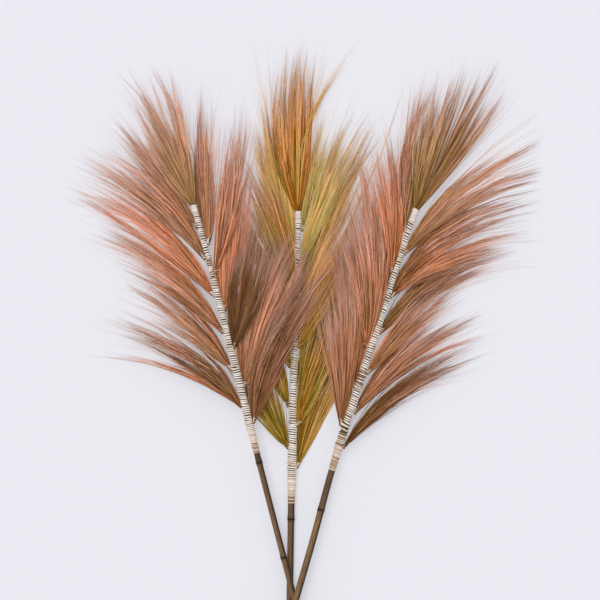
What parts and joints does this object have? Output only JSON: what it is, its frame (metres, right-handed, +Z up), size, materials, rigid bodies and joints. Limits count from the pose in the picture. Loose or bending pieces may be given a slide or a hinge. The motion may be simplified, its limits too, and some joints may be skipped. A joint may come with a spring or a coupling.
{
  "type": "bundle of dried rayung grass sprays",
  "caption": "Dried grass sprays lying in a fan, each a cane wound with split reed that holds dyed bunches of grass on both sides and at the tip.",
  "frame": {"origin": "on the surface that the bundle lies on, under the middle of its bounding box", "axes": "+Y from the cut ends to the tips along the middle spray, +Z up from the surface, +X to the right seen from above with the tips away"},
  "size_m": [0.9318, 1.2184, 0.0439],
  "materials": {
    "cane": "satin, dark brown, with paler rings at its nodes",
    "reed": "matte split reed, cream to tan, with dark gaps between turns",
    "rust_grass": "matte dried grass, brown and mauve with coral tips",
    "amber_grass": "matte dried grass, amber and olive green",
    "russet_grass": "matte dried grass, russet and coral with olive brown"
  },
  "bodies": {
    "root": {"left_stem": "cane", "left_binding": "reed", "left_tuft_top": "rust_grass", "left_tuft_left_1": "rust_grass", "left_tuft_left_2": "rust_grass", "left_tuft_left_3": "rust_grass", "left_tuft_left_4": "rust_grass", "left_tuft_left_5": "rust_grass", "left_tuft_left_6": "rust_grass", "left_tuft_right_1": "rust_grass", "left_tuft_right_2": "rust_grass", "left_tuft_right_3": "rust_grass", "left_tuft_right_4": "rust_grass", "left_tuft_right_5": "rust_grass", "left_tuft_right_6": "rust_grass", "middle_stem": "cane", "middle_binding": "reed", "middle_tuft_top": "amber_grass", "middle_tuft_left_1": "amber_grass", "middle_tuft_left_2": "amber_grass", "middle_tuft_left_3": "amber_grass", "middle_tuft_left_4": "amber_grass", "middle_tuft_left_5": "amber_grass", "middle_tuft_left_6": "amber_grass", "middle_tuft_right_1": "amber_grass", "middle_tuft_right_2": "amber_grass", "middle_tuft_right_3": "amber_grass", "middle_tuft_right_4": "amber_grass", "middle_tuft_right_5": "amber_grass", "middle_tuft_right_6": "amber_grass", "middle_tuft_right_7": "amber_grass", "right_stem": "cane", "right_binding": "reed", "right_tuft_top": "russet_grass", "right_tuft_left_1": "russet_grass", "right_tuft_left_2": "russet_grass", "right_tuft_left_3": "russet_grass", "right_tuft_left_4": "russet_grass", "right_tuft_left_5": "russet_grass", "right_tuft_left_6": "russet_grass", "right_tuft_right_1": "russet_grass", "right_tuft_right_2": "russet_grass", "right_tuft_right_3": "russet_grass", "right_tuft_right_4": "russet_grass", "right_tuft_right_5": "russet_grass", "right_tuft_right_6": "russet_grass"}
  },
  "joints": []
}
